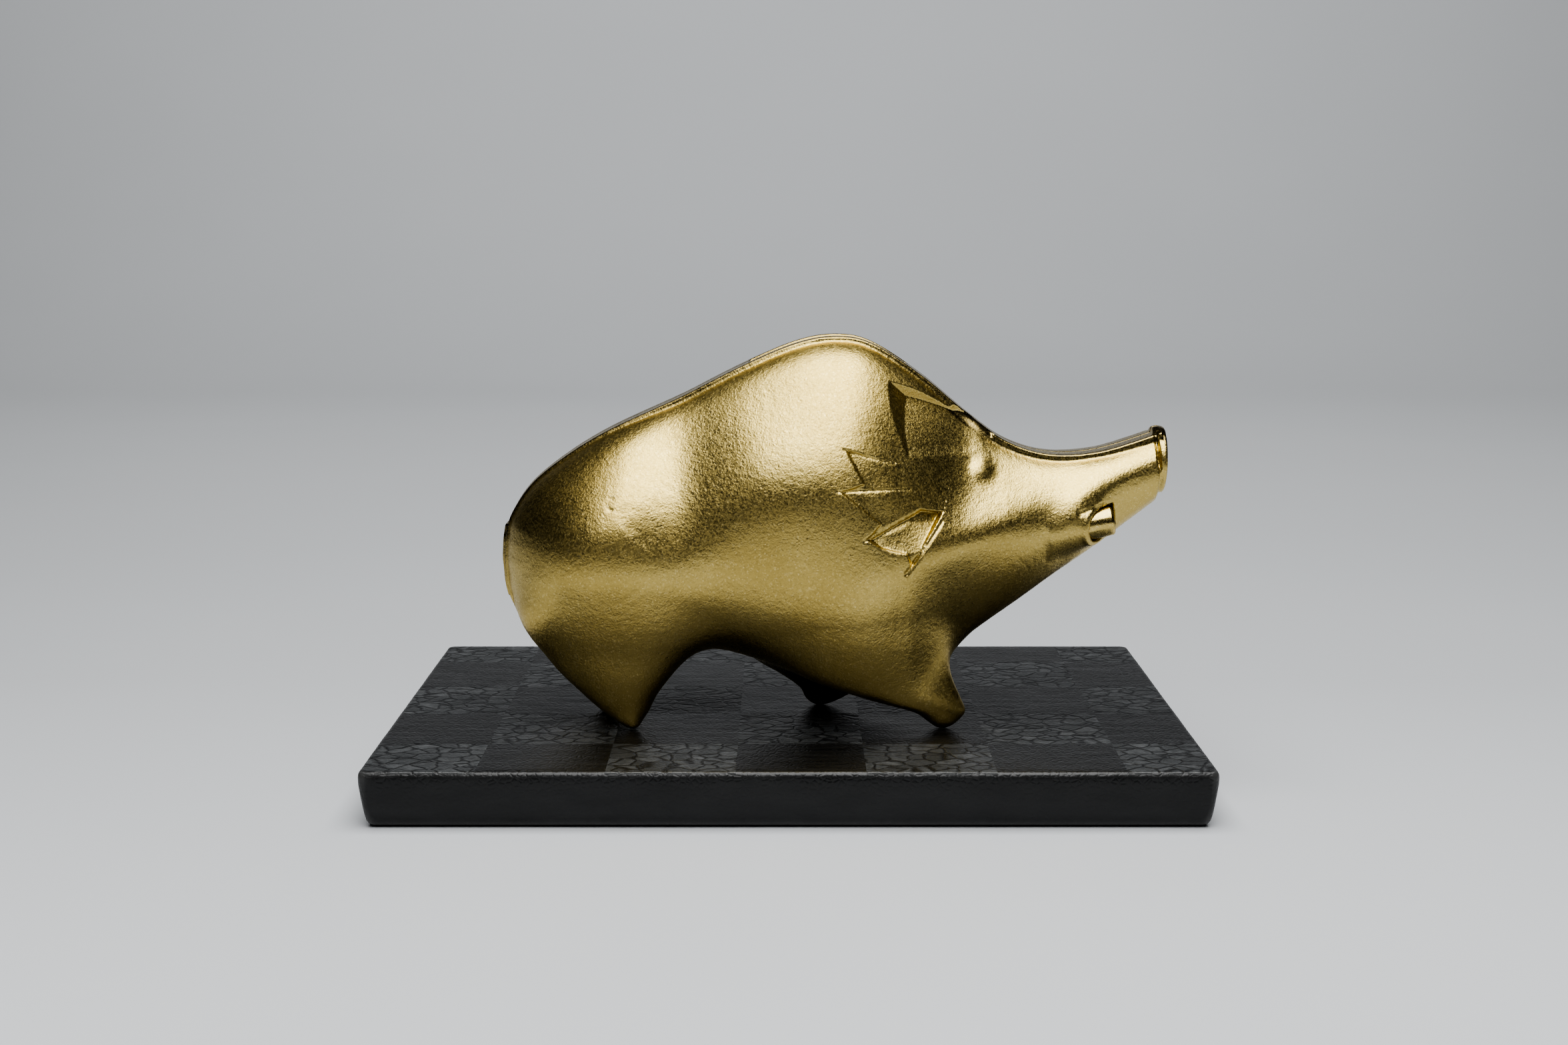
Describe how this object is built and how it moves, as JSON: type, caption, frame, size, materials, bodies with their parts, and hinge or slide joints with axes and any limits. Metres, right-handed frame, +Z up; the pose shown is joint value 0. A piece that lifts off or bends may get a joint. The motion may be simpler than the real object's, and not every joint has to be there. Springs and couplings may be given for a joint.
{
  "type": "still bank",
  "caption": "Gold painted cast iron boar money box in two screwed halves, standing on a black paper covered display board.",
  "frame": {"origin": "bottom centre of the display stand", "axes": "+X along the boar from tail to snout, +Y towards the boar's left side, +Z up"},
  "size_m": [0.1504, 0.105, 0.0837],
  "materials": {
    "gold_paint": "satin",
    "gold_tusk": "polished",
    "screw_steel": "brushed",
    "cover_paper": "satin",
    "core_board": "matte",
    "liner_paper": "matte"
  },
  "bodies": {
    "stand": {"stand_base_liner": "liner_paper", "stand_core_board": "core_board", "stand_cover_paper": "cover_paper"},
    "right_half": {"right_half_casting": "gold_paint", "right_tusk": "gold_tusk"},
    "left_half": {"left_half_casting": "gold_paint", "left_tusk": "gold_tusk"},
    "washer": {"screw_washer": "screw_steel"},
    "screw": {"closing_screw": "screw_steel"}
  },
  "joints": [
    {"name": "lift_off_stand", "type": "slide", "parent": "stand", "child": "right_half", "axis": [0, 0, 1], "range_m": [0, 0.1]},
    {"name": "halves_part", "type": "slide", "parent": "right_half", "child": "left_half", "axis": [0, 1, 0], "range_m": [0, 0.05]},
    {"name": "screw_out", "type": "slide", "parent": "left_half", "child": "washer", "axis": [0, 1, 0], "range_m": [0, 0.0049]},
    {"name": "screw_turn", "type": "hinge", "parent": "washer", "child": "screw", "pos_m": [-0.004, -0.012, 0.0504], "axis": [0, 1, 0], "range_deg": [0, 2520]}
  ],
  "couplings": [
    {"joint": "screw_turn", "follows": "screw_out", "rad_per_m": 8975.9}
  ]
}
